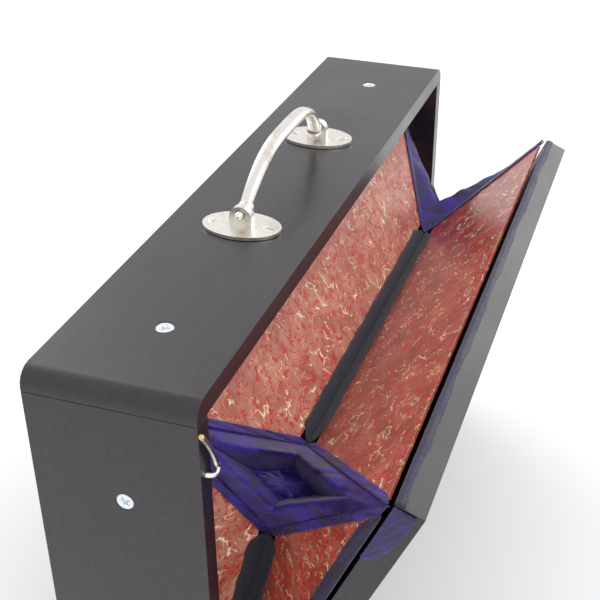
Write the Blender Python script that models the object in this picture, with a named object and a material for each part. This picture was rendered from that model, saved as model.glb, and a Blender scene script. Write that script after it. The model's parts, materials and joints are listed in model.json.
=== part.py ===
"""Shruti box: a lacquered wooden case with a wedge-shaped hand bellows at the front,
a sprung reservoir and thirteen drone reeds with pivoting stops at the back,
a cast bail handle on top and a wire turn hook that holds the bellows shut.

Metres, +Z up. The origin is the centre of the case's underside. X runs along the
case, the pump bellows opens towards -Y, and the note stops are at +Y.
The bellows stands open by PUMP_OPEN, as it hangs when the hook is off.
"""
import math

import bmesh
import bpy
from mathutils import Vector

# Case
CASE_LENGTH = 0.417
CASE_DEPTH = 0.080
CASE_HEIGHT = 0.270
BOARD = 0.010
END_ROUND = 0.0085
END_ROUND_STEPS = 5
GAP = 0.0003

# Centre board, which parts the pump from the reservoir
CENTRE_BOARD = 0.018
PUMP_RECESS = 0.028
GROOVE_WIDTH = 0.050
GROOVE_DEPTH = 0.005
GROOVE_LOW = 0.162
GROOVE_HIGH = 0.222
GROOVE_COUNT = 4

# Case screws, countersunk
SCREW_HEAD = 0.0084
SCREW_HEAD_DEPTH = 0.0026
SCREW_SHANK = 0.0036
SCREW_LENGTH = 0.024
SCREW_SIDES = 16
SCREW_SUNK = 0.0002
TOP_SCREW_SPACING = 0.316
END_SCREW_INSET = 0.059

# Pump board and its bellows
PUMP_BOARD = 0.0136
PUMP_HINGE_HEIGHT = 0.018
PUMP_TALL = 0.233
PUMP_SIDE_GAP = 0.0025
PUMP_OPEN = math.radians(23.6)
RIB = 0.0020
RIB_STANDOFF = 0.0016
RIB_HINGE_GAP = 0.0025
RIB_VALLEY_GAP = 0.0070
RIB_MITRE_GAP = 0.0020
TOP_RIB_WIDTH = 0.0769
TOP_RIB_MITRE = 0.079
END_RIB_TIP = 0.0522
END_RIB_TIP_DROP = 0.0864
END_RIB_FOOT = 0.022
TAPE = 0.0012
TAPE_GAP = 0.0006
GUSSET = 0.0010
GUSSET_SAG = 0.016
GUSSET_INSET = 0.004
STRIP = 0.0012
STRIP_LEG = 0.010
STRIP_END_GAP = 0.006

# Intake and transfer valves
INTAKE_HOLE = 0.014
INTAKE_SPACING = 0.024
INTAKE_COUNT = 5
INTAKE_HEIGHT = 0.085
TRANSFER_HEIGHT = 0.095
VALVE = 0.0015
VALVE_LENGTH = 0.140
VALVE_TALL = 0.044
VALVE_ABOVE_HOLES = 0.014

# Reservoir
RESERVOIR_GAP = 0.010
RESERVOIR_BOARD = 0.008
RESERVOIR_TOP = 0.186
RESERVOIR_SIDE_GAP = 0.006
RESERVOIR_HINGE_HEIGHT = 0.018
RESERVOIR_CLOTH = 0.007
RESERVOIR_CLOTH_INSET = 0.002
SPRING = 0.0010
SPRING_WIDTH = 0.014
SPRING_SPACING = 0.240
SPRING_TOUCH = 0.096
SPRING_FOOT = 0.013

# Reed chest, notes and stops
CHEST_RAIL = 0.0094
NOTE_BOARD = 0.006
NOTE_BOARD_LOW = 0.190
NOTE_RECESS = 0.005
NOTE_COUNT = 13
NOTE_PITCH = 0.030
NOTE_HOLE = 0.008
NOTE_HOLE_HEIGHT = 0.218
NOTE_HOLE_SIDES = 14
STOP = 0.003
STOP_DISC = 0.013
STOP_HUB = 0.010
STOP_ARM = 0.018
STOP_TIP = 0.0085
STOP_TIP_WIDTH = 0.007
STOP_SCREW_SHANK = 0.0026
REED_PLATE = 0.0016
REED_PLATE_WIDTH = 0.018
REED_PLATE_TALL = 0.042
REED_TONGUE = 0.0004
REED_TONGUE_WIDTH = 0.0036
REED_LONGEST = 0.031
REED_SLOT_GAP = 0.0008
REED_RIVET = 0.0022

# Carrying handle
HANDLE_SPAN = 0.120
PLATE = 0.0018
PLATE_LENGTH = 0.042
PLATE_WIDTH = 0.028
PLATE_SIDES = 28
PLATE_SCREW_SPACING = 0.030
PLATE_SCREW_HEAD = 0.0062
PLATE_SCREW_SHANK = 0.0029
PLATE_SCREW_LENGTH = 0.0085
EAR = 0.0042
EAR_WIDTH = 0.0120
EAR_HEIGHT = 0.0105
PIVOT_HEIGHT = 0.0062
PIVOT_PIN = 0.0046
PIVOT_PIN_GAP = 0.0004
BAIL_END_GAP = 0.0006
BAIL_RISE = 0.0240
BAIL_POWER = 3.4
BAIL_THICK = 0.0058
BAIL_WIDE = 0.0092
BAIL_EYE = 0.0088
BAIL_LEAN = math.radians(8.0)
BAIL_SIDES = 10
BAIL_STEPS = 26
PIN_END = 0.0030

# Turn hook
HOOK_WIRE = 0.0024
HOOK_HEIGHT = 0.232
HOOK_STANDOFF = 0.0032
HOOK_OFFSET = 0.0050
HOOK_ARM = 0.0310
HOOK_LEAN = math.radians(27.0)
HOOK_SCREW_DEPTH = 0.012
HOOK_SIDES = 8

# Places that follow from the sizes above
HALF_LENGTH = CASE_LENGTH / 2
HALF_DEPTH = CASE_DEPTH / 2
INNER_HALF = HALF_LENGTH - BOARD
TOP_INNER = CASE_HEIGHT - BOARD
FRONT = -HALF_DEPTH
BACK = HALF_DEPTH
CENTRE_FRONT = FRONT + PUMP_RECESS
CENTRE_BACK = CENTRE_FRONT + CENTRE_BOARD
SCREW_LINE = (CENTRE_FRONT + CENTRE_BACK) / 2
PUMP_INNER = FRONT + PUMP_BOARD
PUMP_HALF = INNER_HALF - PUMP_SIDE_GAP
RIB_CASE_LINE = CENTRE_FRONT - RIB_STANDOFF
RIB_GAP = (RIB_CASE_LINE - PUMP_INNER) - RIB_STANDOFF
RIB_TOP = PUMP_HINGE_HEIGHT + PUMP_TALL
RESERVOIR_INNER = CENTRE_BACK + RESERVOIR_GAP
RESERVOIR_OUTER = RESERVOIR_INNER + RESERVOIR_BOARD
RESERVOIR_HALF = INNER_HALF - RESERVOIR_SIDE_GAP
NOTE_BACK = BACK - NOTE_RECESS
NOTE_FRONT = NOTE_BACK - NOTE_BOARD
AXIS_X = Vector((1, 0, 0))
AXIS_Y = Vector((0, 1, 0))
AXIS_Z = Vector((0, 0, 1))


def clear_scene():
    for item in list(bpy.data.objects):
        bpy.data.objects.remove(item, do_unlink=True)


def finish(name, red, green, blue, roughness, metallic=0.0):
    """A Principled material with one colour, roughness and metallic value."""
    material = bpy.data.materials.new(name)
    material.use_nodes = True
    shader = material.node_tree.nodes["Principled BSDF"]
    shader.inputs["Base Color"].default_value = (red, green, blue, 1.0)
    shader.inputs["Roughness"].default_value = roughness
    shader.inputs["Metallic"].default_value = metallic
    return material


def add_object(name, mesh_builder, material, parent=None, location=None):
    """Turn a bmesh into a named object, with its faces pointing out."""
    bmesh.ops.recalc_face_normals(mesh_builder, faces=mesh_builder.faces)
    mesh = bpy.data.meshes.new(name)
    mesh_builder.to_mesh(mesh)
    mesh_builder.free()
    mesh.materials.append(material)
    item = bpy.data.objects.new(name, mesh)
    bpy.context.collection.objects.link(item)
    if parent is not None:
        item.parent = parent
    if location is not None:
        item.location = location
    return item


def add_pivot(name, location, rotation=(0.0, 0.0, 0.0), parent=None):
    """An empty on a joint's axis."""
    pivot = bpy.data.objects.new(name, None)
    pivot.empty_display_size = 0.01
    pivot.location = location
    pivot.rotation_euler = rotation
    pivot.parent = parent
    bpy.context.collection.objects.link(pivot)
    return pivot


def round_smooth(item, angle=40.0):
    item.data.shade_smooth()
    item.data.set_sharp_from_angle(angle=math.radians(angle))


def add_ring(builder, points):
    return [builder.verts.new(point) for point in points]


def loft(builder, rings):
    """Join rings of equal count with walls, and close both ends."""
    made = [add_ring(builder, ring) for ring in rings]
    count = len(made[0])
    for low, high in zip(made, made[1:]):
        for index in range(count):
            following = (index + 1) % count
            builder.faces.new((low[index], low[following], high[following], high[index]))
    builder.faces.new(list(reversed(made[0])))
    builder.faces.new(made[-1])


def add_block(builder, low, high):
    bottom = [(low[0], low[1]), (high[0], low[1]), (high[0], high[1]), (low[0], high[1])]
    loft(builder, [[(x, y, z) for x, y in bottom] for z in (low[2], high[2])])


def block(name, low, high, material, parent=None, location=None):
    builder = bmesh.new()
    add_block(builder, low, high)
    return add_object(name, builder, material, parent, location)


def add_prism(builder, outline, origin, across, up, low, high):
    """Extrude a flat outline, drawn along across and up, from low to high along their normal."""
    normal = across.cross(up)
    rings = []
    for depth in (low, high):
        rings.append([origin + across * a + up * b + normal * depth for a, b in outline])
    loft(builder, rings)


def prism(name, outline, origin, across, up, low, high, material, parent=None, location=None):
    builder = bmesh.new()
    add_prism(builder, outline, origin, across, up, low, high)
    return add_object(name, builder, material, parent, location)


def circle_points(radius, sides, centre=(0.0, 0.0), stretch=(1.0, 1.0)):
    turn = 2 * math.pi / sides
    return [(centre[0] + radius * stretch[0] * math.cos(turn * step),
             centre[1] + radius * stretch[1] * math.sin(turn * step)) for step in range(sides)]


def arc_points(centre, radius, start, end, steps):
    """Points along an arc, angles in degrees."""
    points = []
    for step in range(steps + 1):
        angle = math.radians(start + (end - start) * step / steps)
        points.append((centre[0] + radius * math.cos(angle), centre[1] + radius * math.sin(angle)))
    return points


def add_turned(builder, profile, base, direction, sides):
    """A solid turned about direction: profile holds (height, radius) pairs from base."""
    direction = direction.normalized()
    side = direction.orthogonal().normalized()
    other = direction.cross(side)
    rings = []
    for height, radius in profile:
        rings.append([base + direction * height + side * a + other * b
                      for a, b in circle_points(radius, sides)])
    loft(builder, rings)


def cut(item, cutter):
    """Cut a hidden cutter out of a piece."""
    cutter.hide_render = True
    cutter.display_type = "WIRE"
    modifier = item.modifiers.new("cut_" + cutter.name, "BOOLEAN")
    modifier.operation = "DIFFERENCE"
    modifier.solver = "EXACT"
    modifier.object = cutter


def screw_profile(head, head_depth, shank, length, clearance=0.0, above=0.0):
    """Countersunk screw from its tip up to its flat head; clearance makes it a hole's shape."""
    profile = [(-length - clearance, shank / 2 + clearance),
               (-head_depth - clearance, shank / 2 + clearance),
               (0.0, head / 2 + clearance)]
    if above:
        profile.append((above, head / 2 + clearance))
    return profile


def offset_path(points, thickness):
    """Both sides of a bent strip of even thickness, mitred at its bends."""
    sides = ([], [])
    last = len(points) - 1
    for index, point in enumerate(points):
        before = (points[index] - points[index - 1]).normalized() if index else None
        after = (points[index + 1] - points[index]).normalized() if index < last else None
        first = before if before is not None else after
        second = after if after is not None else before
        normals = [Vector((-way.y, way.x)) for way in (first, second)]
        mitre = (normals[0] + normals[1]) / (1.0 + normals[0].dot(normals[1]))
        sides[0].append(point + mitre * (thickness / 2))
        sides[1].append(point - mitre * (thickness / 2))
    return sides[0] + list(reversed(sides[1]))


def bent_strip(name, path, thickness, low_x, high_x, material):
    """A strip bent along a path of (y, z) points, as wide as low_x to high_x."""
    outline = offset_path([Vector(point) for point in path], thickness)
    return prism(name, [tuple(point) for point in outline], Vector((0, 0, 0)),
                 AXIS_Y, AXIS_Z, low_x, high_x, material)


def apex_angles(opening):
    """Fold angles of the two equal top ribs at an opening of the pump board.

    The case rib hangs from A, the pump rib from B, and their free edges meet in the
    valley V, the apex of an isosceles triangle below the line from A to B.
    """
    line_a = Vector((RIB_CASE_LINE, RIB_TOP))
    up = Vector((-math.sin(opening), math.cos(opening)))
    inward = Vector((math.cos(opening), math.sin(opening)))
    hinge = Vector((PUMP_INNER, PUMP_HINGE_HEIGHT))
    line_b = hinge + up * PUMP_RIB_TOP + inward * RIB_STANDOFF
    span = line_b - line_a
    across = span.normalized()
    down = Vector((-across.y, across.x))
    valley = (line_a + line_b) / 2 + down * math.sqrt(TOP_RIB_WIDTH ** 2 - (span.length / 2) ** 2)
    case_way = valley - line_a
    pump_way = valley - line_b
    case_angle = math.atan2(-case_way.x, -case_way.y)
    pump_angle = math.atan2(pump_way.dot(inward), -pump_way.dot(up))
    return case_angle, pump_angle, valley


# The pump's rib lines mirror the case's in the plane that halves the opening
PUMP_RIB_TOP = PUMP_TALL - RIB_GAP * math.tan(PUMP_OPEN / 2)
CASE_APEX_DROP = RIB_GAP / math.tan(PUMP_OPEN)
PUMP_APEX_DROP = RIB_GAP / math.sin(PUMP_OPEN)
END_TIP_REACH = PUMP_TALL - END_RIB_TIP_DROP + CASE_APEX_DROP
END_RIB_TAPER = END_RIB_TIP / END_TIP_REACH
END_RIB_ANGLE = math.asin(math.tan(PUMP_OPEN / 2) / END_RIB_TAPER)
CASE_RIB_ANGLE, PUMP_RIB_ANGLE, TOP_VALLEY = apex_angles(PUMP_OPEN)
TOP_VALLEY_HALF = PUMP_HALF - TOP_RIB_MITRE


def build_case(lacquer, zinc):
    """Top and bottom boards with rounded-over ends, lapping the two end boards."""
    def rounded_board(name, low, high, round_low, round_high):
        length, steps, radius = HALF_LENGTH, END_ROUND_STEPS, END_ROUND
        outline = []
        if round_low:
            outline += arc_points((-length + radius, low + radius), radius, 180, 270, steps)
            outline += arc_points((length - radius, low + radius), radius, 270, 360, steps)
        else:
            outline += [(-length, low), (length, low)]
        if round_high:
            outline += arc_points((length - radius, high - radius), radius, 0, 90, steps)
            outline += arc_points((-length + radius, high - radius), radius, 90, 180, steps)
        else:
            outline += [(length, high), (-length, high)]
        item = prism(name, outline, Vector((0, 0, 0)), AXIS_X, AXIS_Z, -BACK, -FRONT, lacquer)
        round_smooth(item)
        return item

    top = rounded_board("top_board", TOP_INNER, CASE_HEIGHT, False, True)
    bottom = rounded_board("bottom_board", 0.0, BOARD, True, False)
    ends = []
    for name, side in (("left_end_board", -1), ("right_end_board", 1)):
        inner, outer = sorted((side * INNER_HALF, side * HALF_LENGTH))
        ends.append(block(name, (inner, FRONT, BOARD + GAP), (outer, BACK, TOP_INNER - GAP), lacquer))
    left, right = ends

    places = []
    for label, side in (("left", -1), ("right", 1)):
        x = side * TOP_SCREW_SPACING / 2
        places.append(("top_%s_screw" % label, top, Vector((x, SCREW_LINE, CASE_HEIGHT)), AXIS_Z))
        places.append(("bottom_%s_screw" % label, bottom, Vector((x, SCREW_LINE, 0.0)), -AXIS_Z))
        board = left if side < 0 else right
        for level, z in (("lower", END_SCREW_INSET), ("upper", CASE_HEIGHT - END_SCREW_INSET)):
            place = Vector((side * HALF_LENGTH, SCREW_LINE, z))
            places.append(("%s_%s_screw" % (label, level), board, place, AXIS_X * side))

    shape = screw_profile(SCREW_HEAD, SCREW_HEAD_DEPTH, SCREW_SHANK, SCREW_LENGTH)
    for name, _, place, way in places:
        screw = bmesh.new()
        add_turned(screw, shape, place - way * SCREW_SUNK, way, SCREW_SIDES)
        round_smooth(add_object(name, screw, zinc), 30.0)

    hole = screw_profile(SCREW_HEAD, SCREW_HEAD_DEPTH, SCREW_SHANK, SCREW_LENGTH, GAP, 0.001)
    all_holes = bmesh.new()
    for board in (top, bottom, left, right):
        holes = bmesh.new()
        for _, owner, place, way in places:
            if owner is board:
                add_turned(holes, hole, place - way * SCREW_SUNK, way, SCREW_SIDES)
                add_turned(all_holes, hole, place - way * SCREW_SUNK, way, SCREW_SIDES)
        cut(board, add_object(board.name + "_screw_holes", holes, zinc))
    return top, left, add_object("centre_screw_holes", all_holes, zinc)


def build_centre(wood, screw_holes):
    """Centre board with screw holes, transfer holes and air grooves, and the pump's hinge rail."""
    centre = block("centre_board", (-INNER_HALF + GAP, CENTRE_FRONT, BOARD + GAP),
                   (INNER_HALF - GAP, CENTRE_BACK, TOP_INNER - GAP), wood)
    cut(centre, screw_holes)
    openings = bmesh.new()
    margin = 0.002
    for index in range(INTAKE_COUNT):
        x = (index - (INTAKE_COUNT - 1) / 2) * INTAKE_SPACING
        add_turned(openings, [(-margin, INTAKE_HOLE / 2), (CENTRE_BOARD + margin, INTAKE_HOLE / 2)],
                   Vector((x, CENTRE_FRONT, TRANSFER_HEIGHT)), AXIS_Y, SCREW_SIDES)
    pitch = 2 * INNER_HALF / GROOVE_COUNT
    for index in range(GROOVE_COUNT):
        x = (index - (GROOVE_COUNT - 1) / 2) * pitch
        add_block(openings, (x - GROOVE_WIDTH / 2, CENTRE_BACK - GROOVE_DEPTH, GROOVE_LOW),
                  (x + GROOVE_WIDTH / 2, CENTRE_BACK + margin, GROOVE_HIGH))
    cut(centre, add_object("centre_openings", openings, wood))
    block("pump_rail", (-PUMP_HALF, PUMP_INNER + GAP, BOARD + GAP),
          (PUMP_HALF, CENTRE_FRONT - GAP, PUMP_HINGE_HEIGHT - GAP), wood)


def build_pump(lacquer, leather):
    """Pump board on its hinge line, with intake holes under a leather inlet valve."""
    pump = add_pivot("pump_pivot", (0.0, PUMP_INNER, PUMP_HINGE_HEIGHT), (PUMP_OPEN, 0.0, 0.0))
    board = block("pump_board", (-PUMP_HALF, -PUMP_BOARD, GAP * 2),
                  (PUMP_HALF, 0.0, PUMP_TALL), lacquer, pump)
    holes = bmesh.new()
    margin = 0.002
    for index in range(INTAKE_COUNT):
        x = (index - (INTAKE_COUNT - 1) / 2) * INTAKE_SPACING
        add_turned(holes, [(-PUMP_BOARD - margin, INTAKE_HOLE / 2), (margin, INTAKE_HOLE / 2)],
                   Vector((x, 0.0, INTAKE_HEIGHT)), AXIS_Y, SCREW_SIDES)
    cut(board, add_object("intake_holes", holes, lacquer, pump))

    valve_top = INTAKE_HEIGHT + VALVE_ABOVE_HOLES
    inlet = add_pivot("inlet_valve_pivot", (0.0, GAP, valve_top), parent=pump)
    block("inlet_valve", (-VALVE_LENGTH / 2, 0.0, -VALVE_TALL),
          (VALVE_LENGTH / 2, VALVE, -GAP), leather, inlet)
    transfer_top = TRANSFER_HEIGHT + VALVE_ABOVE_HOLES
    transfer = add_pivot("transfer_valve_pivot", (0.0, CENTRE_BACK + GAP, transfer_top))
    block("transfer_valve", (-VALVE_LENGTH / 2, 0.0, -VALVE_TALL),
          (VALVE_LENGTH / 2, VALVE, -GAP), leather, transfer)

    lift = GAP + STRIP / 2
    corner_up = lift * (1.0 - math.sin(PUMP_OPEN)) / math.cos(PUMP_OPEN)

    def on_pump(up):
        return (PUMP_INNER - up * math.sin(PUMP_OPEN) + lift * math.cos(PUMP_OPEN),
                PUMP_HINGE_HEIGHT + up * math.cos(PUMP_OPEN) + lift * math.sin(PUMP_OPEN))

    path = [(PUMP_INNER + STRIP_LEG, PUMP_HINGE_HEIGHT + lift), on_pump(corner_up),
            on_pump(corner_up + STRIP_LEG)]
    half = PUMP_HALF - STRIP_END_GAP
    bent_strip("pump_hinge_strip", path, STRIP, -half, half, leather)
    return pump


def top_rib_outline():
    """Trapezium of a top rib: hinge edge at 0, valley edge at minus the rib's width."""
    slope = TOP_RIB_MITRE / TOP_RIB_WIDTH
    near = RIB_HINGE_GAP
    far = TOP_RIB_WIDTH - RIB_VALLEY_GAP
    near_half = PUMP_HALF - slope * near - RIB_MITRE_GAP * 1.5
    far_half = PUMP_HALF - slope * far - RIB_MITRE_GAP * 1.5
    return [(-near_half, -near), (-far_half, -far), (far_half, -far), (near_half, -near)]


def end_rib_outline(apex_drop, top):
    """Tapering end rib in its own plane: (distance from its hinge edge, height)."""
    mitre = END_RIB_TIP / END_RIB_TIP_DROP
    near = RIB_HINGE_GAP
    mitre_top = top - RIB_MITRE_GAP / mitre
    foot = END_RIB_TAPER * (END_RIB_FOOT + apex_drop) - RIB_VALLEY_GAP
    reach = (mitre * mitre_top + RIB_VALLEY_GAP - END_RIB_TAPER * apex_drop) / (END_RIB_TAPER + mitre)
    tip = END_RIB_TAPER * (reach + apex_drop) - RIB_VALLEY_GAP
    return [(near, END_RIB_FOOT), (foot, END_RIB_FOOT), (tip, reach), (near, mitre_top - near / mitre)]


def build_ribs(card, pump):
    """Six stiff ribs: each is flat, and turns on the edge that is taped to case or pump board."""
    case_top = add_pivot("top_rib_case_pivot", (0.0, RIB_CASE_LINE, RIB_TOP), (-CASE_RIB_ANGLE, 0, 0))
    pump_top = add_pivot("top_rib_pump_pivot", (0.0, RIB_STANDOFF, PUMP_RIB_TOP),
                         (PUMP_RIB_ANGLE, 0, 0), pump)
    outline = top_rib_outline()
    for name, pivot in (("top_rib_case", case_top), ("top_rib_pump", pump_top)):
        prism(name, outline, Vector((0, 0, 0)), AXIS_X, AXIS_Z, -RIB / 2, RIB / 2, card, pivot)

    pivots = {}
    for label, side in (("left", -1), ("right", 1)):
        case_name = label + "_rib_case"
        pump_name = label + "_rib_pump"
        case_end = add_pivot(case_name + "_pivot", (side * PUMP_HALF, RIB_CASE_LINE, PUMP_HINGE_HEIGHT),
                             (0, 0, side * END_RIB_ANGLE))
        pump_end = add_pivot(pump_name + "_pivot", (side * PUMP_HALF, RIB_STANDOFF, 0.0),
                             (0, 0, -side * END_RIB_ANGLE), pump)
        for name, pivot, drop, top in ((case_name, case_end, CASE_APEX_DROP, PUMP_TALL),
                                       (pump_name, pump_end, PUMP_APEX_DROP, PUMP_RIB_TOP)):
            prism(name, end_rib_outline(drop, top), Vector((0, 0, 0)), -AXIS_X * side, AXIS_Z,
                  -RIB / 2, RIB / 2, card, pivot)
        pivots[label] = (case_end, pump_end)
    return pivots


def end_valley_point(pivot, side, drop, reach, back=0.0):
    """World place on an end rib's free edge, at a distance reach from the bellows' apex."""
    local = Vector((-side * (END_RIB_TAPER * reach - back), 0.0, reach - drop))
    return pivot.matrix_world @ local


def folded_band(name, stations, thickness, material):
    """A band folded once along its length: each station is (edge, fold, edge)."""
    builder = bmesh.new()
    rings = []
    along = (stations[-1][1] - stations[0][1]).normalized()
    for first, fold, second in stations:
        normal_a = (fold - first).cross(along).normalized()
        normal_b = (second - fold).cross(along).normalized()
        mitre = (normal_a + normal_b) / (1.0 + normal_a.dot(normal_b))
        half = thickness / 2
        rings.append([first + normal_a * half, fold + mitre * half, second + normal_b * half,
                      second - normal_b * half, fold - mitre * half, first - normal_a * half])
    loft(builder, rings)
    bmesh.ops.triangulate(builder, faces=builder.faces)
    return add_object(name, builder, material)


def build_bellows_leather(leather, tape, pump, pivots):
    """Cloth tapes in the three valleys, and a folded leather gusset at each top corner."""
    bpy.context.view_layer.update()
    case_line = Vector((RIB_CASE_LINE, RIB_TOP))
    pump_line_world = pump.matrix_world @ Vector((0.0, RIB_STANDOFF, PUMP_RIB_TOP))
    pump_line = Vector((pump_line_world.y, pump_line_world.z))
    arm = RIB_VALLEY_GAP - TAPE_GAP
    case_edge = TOP_VALLEY + (case_line - TOP_VALLEY).normalized() * arm
    pump_edge = TOP_VALLEY + (pump_line - TOP_VALLEY).normalized() * arm
    half = TOP_VALLEY_HALF - GUSSET_INSET
    bent_strip("top_valley_tape", [tuple(case_edge), tuple(TOP_VALLEY), tuple(pump_edge)],
               TAPE, -half, half, tape)

    low_reach = END_RIB_FOOT + CASE_APEX_DROP
    high_reach = END_TIP_REACH - GUSSET_INSET
    for label, side in (("left", -1), ("right", 1)):
        case_end, pump_end = pivots[label]
        stations = []
        for reach in (low_reach, high_reach):
            stations.append((end_valley_point(case_end, side, CASE_APEX_DROP, reach, arm),
                             end_valley_point(case_end, side, CASE_APEX_DROP, reach),
                             end_valley_point(pump_end, side, PUMP_APEX_DROP, reach, arm)))
        folded_band(label + "_valley_tape", stations, TAPE, tape)

        case_corner = Vector((side * PUMP_HALF, RIB_CASE_LINE, RIB_TOP))
        pump_corner = pump.matrix_world @ Vector((side * PUMP_HALF, RIB_STANDOFF, PUMP_RIB_TOP))
        top_fold = Vector((side * TOP_VALLEY_HALF, TOP_VALLEY.x, TOP_VALLEY.y))
        end_fold = end_valley_point(case_end, side, CASE_APEX_DROP, END_TIP_REACH)
        middle = (top_fold + end_fold) / 2
        inward = (middle - (case_corner + pump_corner) / 2).normalized()
        centre = middle + inward * GUSSET_SAG
        corners = []
        for corner in (case_corner, top_fold, pump_corner, end_fold):
            corners.append(corner + (centre - corner).normalized() * GUSSET_INSET)
        builder = bmesh.new()
        ring = add_ring(builder, corners)
        hub = builder.verts.new(centre)
        for index in range(4):
            builder.faces.new((ring[index], ring[(index + 1) % 4], hub))
        gusset = add_object(label + "_gusset", builder, leather)
        sheet = gusset.modifiers.new("leather", "SOLIDIFY")
        sheet.thickness = GUSSET
        sheet.offset = 0.0


def build_reservoir(wood, leather, steel):
    """Spring-closed reservoir board behind the centre board, hinged on a sill."""
    block("reservoir_sill", (-RESERVOIR_HALF, CENTRE_BACK + GAP, BOARD + GAP),
          (RESERVOIR_HALF, RESERVOIR_INNER - GAP, RESERVOIR_HINGE_HEIGHT - GAP), wood)
    pivot = add_pivot("reservoir_pivot", (0.0, RESERVOIR_INNER, RESERVOIR_HINGE_HEIGHT))
    tall = RESERVOIR_TOP - RESERVOIR_HINGE_HEIGHT
    block("reservoir_board", (-RESERVOIR_HALF, 0.0, GAP * 2), (RESERVOIR_HALF, RESERVOIR_BOARD, tall),
          wood, pivot)

    outer = RESERVOIR_HALF - RESERVOIR_CLOTH_INSET
    inner = outer - RESERVOIR_CLOTH
    low = RESERVOIR_HINGE_HEIGHT + STRIP + GAP * 3
    high = RESERVOIR_TOP - RESERVOIR_CLOTH_INSET
    under = high - RESERVOIR_CLOTH
    outline = [(-outer, low), (-inner, low), (-inner, under), (inner, under),
               (inner, low), (outer, low), (outer, high), (-outer, high)]
    prism("reservoir_bellows", outline, Vector((0, 0, 0)), AXIS_X, AXIS_Z,
          -(RESERVOIR_INNER - GAP), -(CENTRE_BACK + GAP), leather)

    lift = GAP + STRIP / 2
    corner = (RESERVOIR_INNER - lift, RESERVOIR_HINGE_HEIGHT + lift)
    reach = RESERVOIR_GAP - 2 * GAP - STRIP
    path = [(RESERVOIR_INNER - reach, corner[1]), corner, (corner[0], corner[1] + STRIP_LEG)]
    half = inner - STRIP_END_GAP
    bent_strip("reservoir_hinge_strip", path, STRIP, -half, half, leather)

    foot_level = BOARD + GAP + SPRING / 2
    touch = RESERVOIR_OUTER + GAP + SPRING / 2
    room = BACK - RESERVOIR_OUTER
    heel = RESERVOIR_OUTER + 0.85 * room
    spring_path = [(heel - SPRING_FOOT, foot_level), (heel, foot_level),
                   (heel + SPRING, foot_level + SPRING),
                   (touch + 0.3 * room, SPRING_TOUCH - 0.030), (touch, SPRING_TOUCH),
                   (touch + 0.1 * room, SPRING_TOUCH + 0.006)]
    for name, side in (("left_reservoir_spring", -1), ("right_reservoir_spring", 1)):
        x = side * SPRING_SPACING / 2
        bent_strip(name, spring_path, SPRING, x - SPRING_WIDTH / 2, x + SPRING_WIDTH / 2, steel)


def note_places():
    return [(index - (NOTE_COUNT - 1) / 2) * NOTE_PITCH for index in range(NOTE_COUNT)]


def build_reed_chest(wood, brass):
    """Closed chest under the note board, with a reed behind each hole."""
    back = NOTE_FRONT - GAP
    for name, low in (("chest_lower_rail", NOTE_BOARD_LOW), ("chest_upper_rail", TOP_INNER - CHEST_RAIL - GAP)):
        block(name, (-INNER_HALF + GAP, CENTRE_BACK + GAP, low), (INNER_HALF - GAP, back, low + CHEST_RAIL), wood)
    board = block("note_board", (-INNER_HALF + GAP, NOTE_FRONT, NOTE_BOARD_LOW),
                  (INNER_HALF - GAP, NOTE_BACK, TOP_INNER - GAP), wood)
    holes = bmesh.new()
    margin = 0.002
    through = [(-margin, NOTE_HOLE / 2), (NOTE_BOARD + margin, NOTE_HOLE / 2)]
    bore = [(-margin, STOP_SCREW_SHANK / 2 + GAP), (NOTE_BOARD + margin, STOP_SCREW_SHANK / 2 + GAP)]
    for x in note_places():
        add_turned(holes, through, Vector((x, NOTE_FRONT, NOTE_HOLE_HEIGHT)), AXIS_Y, NOTE_HOLE_SIDES)
        add_turned(holes, bore, Vector((x, NOTE_FRONT, NOTE_HOLE_HEIGHT + STOP_ARM)), AXIS_Y, 10)
    cut(board, add_object("note_holes", holes, wood))

    slots = bmesh.new()
    tongues = bmesh.new()
    plate_back = NOTE_FRONT - GAP
    plate_front = plate_back - REED_PLATE
    plate_low = NOTE_BOARD_LOW + CHEST_RAIL + GAP * 2
    root = plate_low + REED_PLATE_TALL - REED_RIVET * 1.6
    slot_half = REED_TONGUE_WIDTH / 2 + REED_SLOT_GAP
    slot_top = root - REED_RIVET
    sunk = REED_TONGUE / 2
    for index, x in enumerate(note_places()):
        length = REED_LONGEST * 2 ** (-index / 24)
        add_block(slots, (x - slot_half, plate_front - margin, slot_top - length),
                  (x + slot_half, plate_back + margin, slot_top))
        add_block(tongues, (x - REED_TONGUE_WIDTH / 2, plate_front - REED_TONGUE, slot_top - length + REED_SLOT_GAP),
                  (x + REED_TONGUE_WIDTH / 2, plate_front + sunk, root + REED_RIVET / 2))
    reach = note_places()[-1] + REED_PLATE_WIDTH / 2
    bank = block("reed_bank", (-reach, plate_front, plate_low), (reach, plate_back, plate_low + REED_PLATE_TALL), brass)
    cut(bank, add_object("reed_slots", slots, brass))
    reeds = add_object("reed_tongues", tongues, brass)
    reeds.hide_render = True
    reeds.display_type = "WIRE"
    union = bank.modifiers.new("tongues", "BOOLEAN")
    union.operation = "UNION"
    union.solver = "EXACT"
    union.object = reeds


def stop_outline():
    """Outline about its pivot: hub at the top, disc over the note hole, finger tip below."""
    hub = STOP_HUB / 2
    disc = STOP_DISC / 2
    tip = STOP_TIP_WIDTH / 2
    tip_level = -STOP_ARM - disc - STOP_TIP + tip
    outline = arc_points((0.0, 0.0), hub, -20, 200, 8)
    outline += arc_points((0.0, -STOP_ARM), disc, 130, 230, 5)
    outline += arc_points((0.0, tip_level), tip, 180, 360, 6)
    outline += arc_points((0.0, -STOP_ARM), disc, -50, 50, 5)
    return outline


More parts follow.
